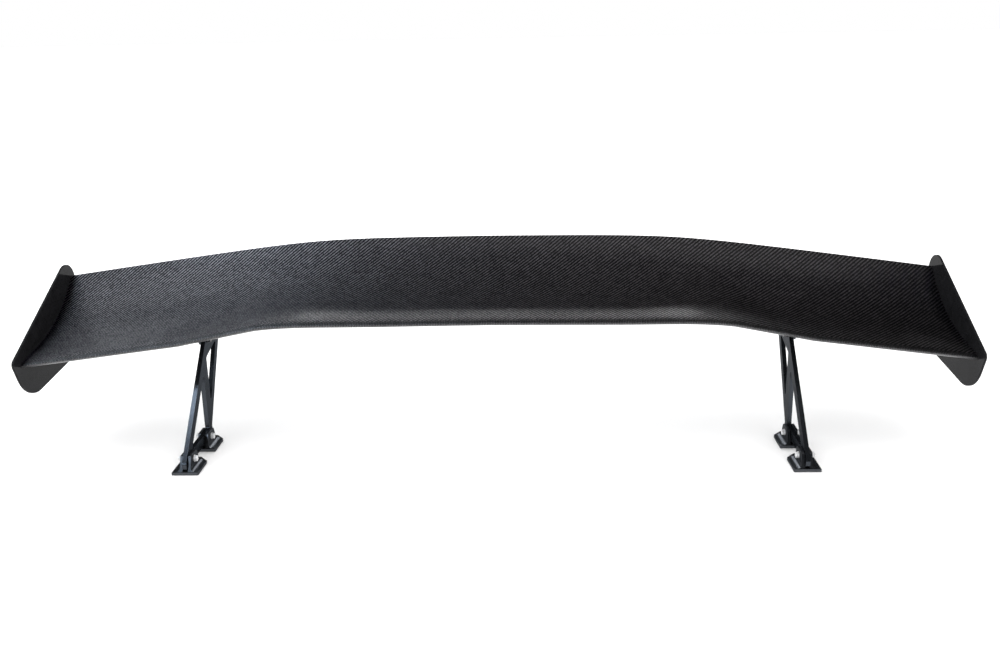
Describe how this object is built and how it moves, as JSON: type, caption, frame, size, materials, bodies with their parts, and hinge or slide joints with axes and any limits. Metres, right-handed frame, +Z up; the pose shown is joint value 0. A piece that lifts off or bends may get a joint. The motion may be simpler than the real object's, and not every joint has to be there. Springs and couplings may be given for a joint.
{
  "type": "racing rear wing",
  "caption": "Adjustable carbon-fibre rear wing with drooped outer panels and end plates, held on truss uprights with swivelling clevis feet.",
  "frame": {"origin": "on the ground, under the middle of the whole wing", "axes": "+Z up, +Y rearwards along the air flow, +X along the span to the right tip as seen from the front"},
  "size_m": [1.7018, 0.3372, 0.3573],
  "materials": {
    "carbon_skin": "clear-coated twill carbon fibre",
    "carbon_band": "clear-coated carbon fibre joining strip",
    "carbon_web": "uncoated carbon fibre",
    "carbon_plate": "clear-coated twill carbon fibre",
    "rib_alloy": "machined",
    "insert_brass": "turned",
    "zinc_steel": "bright zinc",
    "black_steel": "black oxide",
    "black_upright": "satin black anodised",
    "black_foot": "satin black anodised"
  },
  "bodies": {
    "uprights": {"left_upright": "black_upright", "right_upright": "black_upright", "pivot_bolts": "black_steel", "pivot_washers": "black_steel", "pivot_nuts": "black_steel", "foot_bolts": "zinc_steel", "foot_washers": "zinc_steel", "foot_nuts": "zinc_steel"},
    "wing": {"upper_skin": "carbon_skin", "lower_skin": "carbon_skin", "nose_band": "carbon_band", "main_spar": "carbon_web", "rear_spar": "carbon_web", "left_tip_rib": "rib_alloy", "right_tip_rib": "rib_alloy", "tip_inserts": "insert_brass", "left_mount_rib": "black_upright", "right_mount_rib": "black_upright", "left_endplate": "carbon_plate", "right_endplate": "carbon_plate", "endplate_screws": "zinc_steel", "endplate_washers": "zinc_steel", "adjuster_bolts": "black_steel", "adjuster_washers": "black_steel", "adjuster_nuts": "black_steel"},
    "left_front_foot": {"left_front_foot": "black_foot"},
    "left_rear_foot": {"left_rear_foot": "black_foot"},
    "right_front_foot": {"right_front_foot": "black_foot"},
    "right_rear_foot": {"right_rear_foot": "black_foot"}
  },
  "joints": [
    {"name": "wing_angle", "type": "hinge", "parent": "uprights", "child": "wing", "pos_m": [0, 0.01839, 0.195], "axis": [1, 0, 0], "range_deg": [-8, 4]},
    {"name": "left_front_foot_swivel", "type": "hinge", "parent": "uprights", "child": "left_front_foot", "pos_m": [-0.543, -0.13961, 0.02], "axis": [1, 0, 0], "range_deg": [-6, 6]},
    {"name": "left_rear_foot_swivel", "type": "hinge", "parent": "uprights", "child": "left_rear_foot", "pos_m": [-0.543, -0.03461, 0.02], "axis": [1, 0, 0], "range_deg": [-6, 6]},
    {"name": "right_front_foot_swivel", "type": "hinge", "parent": "uprights", "child": "right_front_foot", "pos_m": [0.543, -0.13961, 0.02], "axis": [1, 0, 0], "range_deg": [-6, 6]},
    {"name": "right_rear_foot_swivel", "type": "hinge", "parent": "uprights", "child": "right_rear_foot", "pos_m": [0.543, -0.03461, 0.02], "axis": [1, 0, 0], "range_deg": [-6, 6]}
  ]
}
